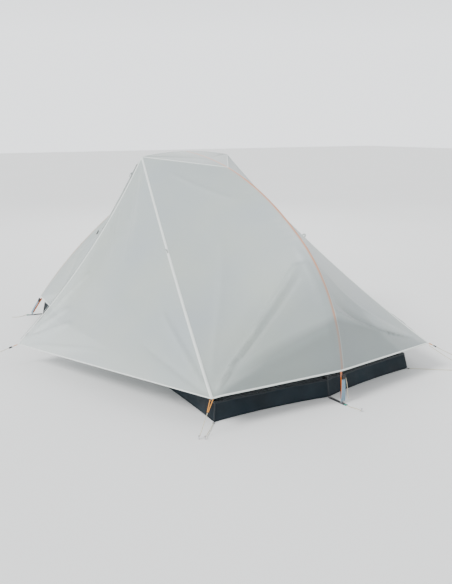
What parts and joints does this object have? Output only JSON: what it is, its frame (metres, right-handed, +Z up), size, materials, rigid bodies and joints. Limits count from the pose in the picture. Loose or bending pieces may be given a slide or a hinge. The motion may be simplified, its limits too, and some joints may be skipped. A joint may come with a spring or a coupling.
{
  "type": "hubbed-pole tent",
  "caption": "Pitched two-person ultralight tent: Y-shaped hubbed pole, inner tent with bathtub floor, and a translucent flysheet with a vestibule each side.",
  "frame": {"origin": "On the ground under the middle of the tent's box, measured without the guylines and stakes.", "axes": "+Z up, +Y from the foot end to the head end, +X to the right seen from the foot end."},
  "size_m": [2.4392, 2.4264, 1.0661],
  "materials": {
    "fly_fabric": "thin coated ripstop, light grey, slightly translucent",
    "inner_fabric": "fine grey netting and thin cloth",
    "floor_fabric": "dark blue-black coated cloth",
    "pole_alloy": "orange anodised tube",
    "ferrule_alloy": "bare alloy tube",
    "tip_alloy": "turned alloy",
    "stake_alloy": "satin alloy",
    "shock_cord": "braid-covered elastic cord",
    "hub_plastic": "black moulded plastic",
    "clip_plastic": "black moulded plastic",
    "buckle_plastic": "black moulded plastic",
    "toggle_plastic": "black moulded plastic",
    "zip_metal": "black coated zinc",
    "zip_coil": "woven tape with a nylon coil",
    "webbing_blue": "pale blue woven webbing",
    "webbing_pale": "pale grey woven webbing",
    "webbing_dark": "dark woven webbing with a teal end",
    "webbing_orange": "orange woven webbing",
    "guyline": "cream braided cord"
  },
  "bodies": {
    "tent": {"bathtub_floor": "floor_fabric", "brow_caps": "hub_plastic", "brow_clip": "hub_plastic", "brow_pole": "pole_alloy", "canopy_clips": "clip_plastic", "corner_webbing": "webbing_orange", "door_left_roll": "fly_fabric", "floor_webbing": "webbing_dark", "fly_buckles": "buckle_plastic", "fly_foot_left": "fly_fabric", "fly_foot_right": "fly_fabric", "fly_gore_left": "fly_fabric", "fly_gore_right": "fly_fabric", "fly_head": "fly_fabric", "fly_roof": "fly_fabric", "fly_straps": "webbing_blue", "foot_tail_cord": "guyline", "guyline_corner_left": "guyline", "guyline_corner_right": "guyline", "guyline_corner_right_low": "guyline", "guyline_floor_left": "guyline", "guyline_floor_right": "guyline", "guyline_foot": "guyline", "guyline_head_left": "guyline", "guyline_tip_left": "guyline", "guyout_loops": "webbing_pale", "inner_ends": "inner_fabric", "inner_side_left": "inner_fabric", "inner_side_right": "inner_fabric", "leg_left_section_1": "pole_alloy", "leg_left_section_2": "pole_alloy", "leg_left_section_3": "pole_alloy", "leg_right_section_1": "pole_alloy", "leg_right_section_2": "pole_alloy", "leg_right_section_3": "pole_alloy", "pole_ferrules": "ferrule_alloy", "pole_grommets": "tip_alloy", "pole_hub": "hub_plastic", "pole_tips": "tip_alloy", "shock_cord": "shock_cord", "spine_section_1": "pole_alloy", "spine_section_2": "pole_alloy", "spine_section_3": "pole_alloy", "spine_section_4": "pole_alloy", "stake_heads": "stake_alloy", "toggle_tabs": "webbing_blue", "vestibule_foot_left": "fly_fabric", "vestibule_foot_right": "fly_fabric", "zip_chains": "zip_coil"},
    "door_right": {"door_right": "fly_fabric"},
    "zip_slider_left": {"zip_slider_left": "zip_metal"},
    "zip_slider_right": {"zip_slider_right": "zip_metal"},
    "zip_pull_left": {"zip_pull_left": "zip_metal"},
    "zip_pull_right": {"zip_pull_right": "zip_metal"},
    "door_toggle_left": {"door_toggle_left": "toggle_plastic"},
    "door_toggle_right": {"door_toggle_right": "toggle_plastic"},
    "tensioner_tip_left": {"tensioner_tip_left": "buckle_plastic"},
    "tensioner_corner_right": {"tensioner_corner_right": "buckle_plastic"}
  },
  "joints": [
    {"name": "door_right_swing", "type": "hinge", "parent": "tent", "child": "door_right", "pos_m": [0.277, 0.2333, 1.04041], "axis": [-0.3236, -0.4386, 0.8384], "range_deg": [0, 110]},
    {"name": "zip_left_run", "type": "hinge", "parent": "tent", "child": "zip_slider_left", "pos_m": [-3.46725, 0.22628, 2.83991], "axis": [-0.0127, 0.9998, -0.0156], "range_deg": [0, 16.2]},
    {"name": "zip_right_run", "type": "hinge", "parent": "tent", "child": "zip_slider_right", "pos_m": [3.46725, 0.22628, 2.83991], "axis": [0.0127, 0.9998, -0.0156], "range_deg": [0, 16.2]},
    {"name": "zip_pull_left_swing", "type": "hinge", "parent": "zip_slider_left", "child": "zip_pull_left", "pos_m": [-0.34036, 0.23664, 0.9538], "axis": [-0.0127, 0.9998, -0.0156], "range_deg": [0, 150]},
    {"name": "zip_pull_right_swing", "type": "hinge", "parent": "zip_slider_right", "child": "zip_pull_right", "pos_m": [0.99279, 0.21589, 0.15442], "axis": [-0.0127, -0.9998, 0.0156], "range_deg": [0, 150]},
    {"name": "tip_left_adjust", "type": "slide", "parent": "tent", "child": "tensioner_tip_left", "axis": [-0.9512, 0.1001, -0.292], "range_m": [0, 0.08]},
    {"name": "corner_right_adjust", "type": "slide", "parent": "tent", "child": "tensioner_corner_right", "axis": [0.8358, -0.2539, -0.4867], "range_m": [0, 0.06]},
    {"name": "door_toggle_left_turn", "type": "hinge", "parent": "tent", "child": "door_toggle_left", "pos_m": [-0.43356, 0.52563, 0.60062], "axis": [-0.7999, 0.3464, 0.49], "range_deg": [-80, 80]},
    {"name": "door_toggle_right_turn", "type": "hinge", "parent": "tent", "child": "door_toggle_right", "pos_m": [0.43356, 0.52563, 0.60062], "axis": [0.7999, 0.3464, 0.49], "range_deg": [-80, 80]}
  ]
}
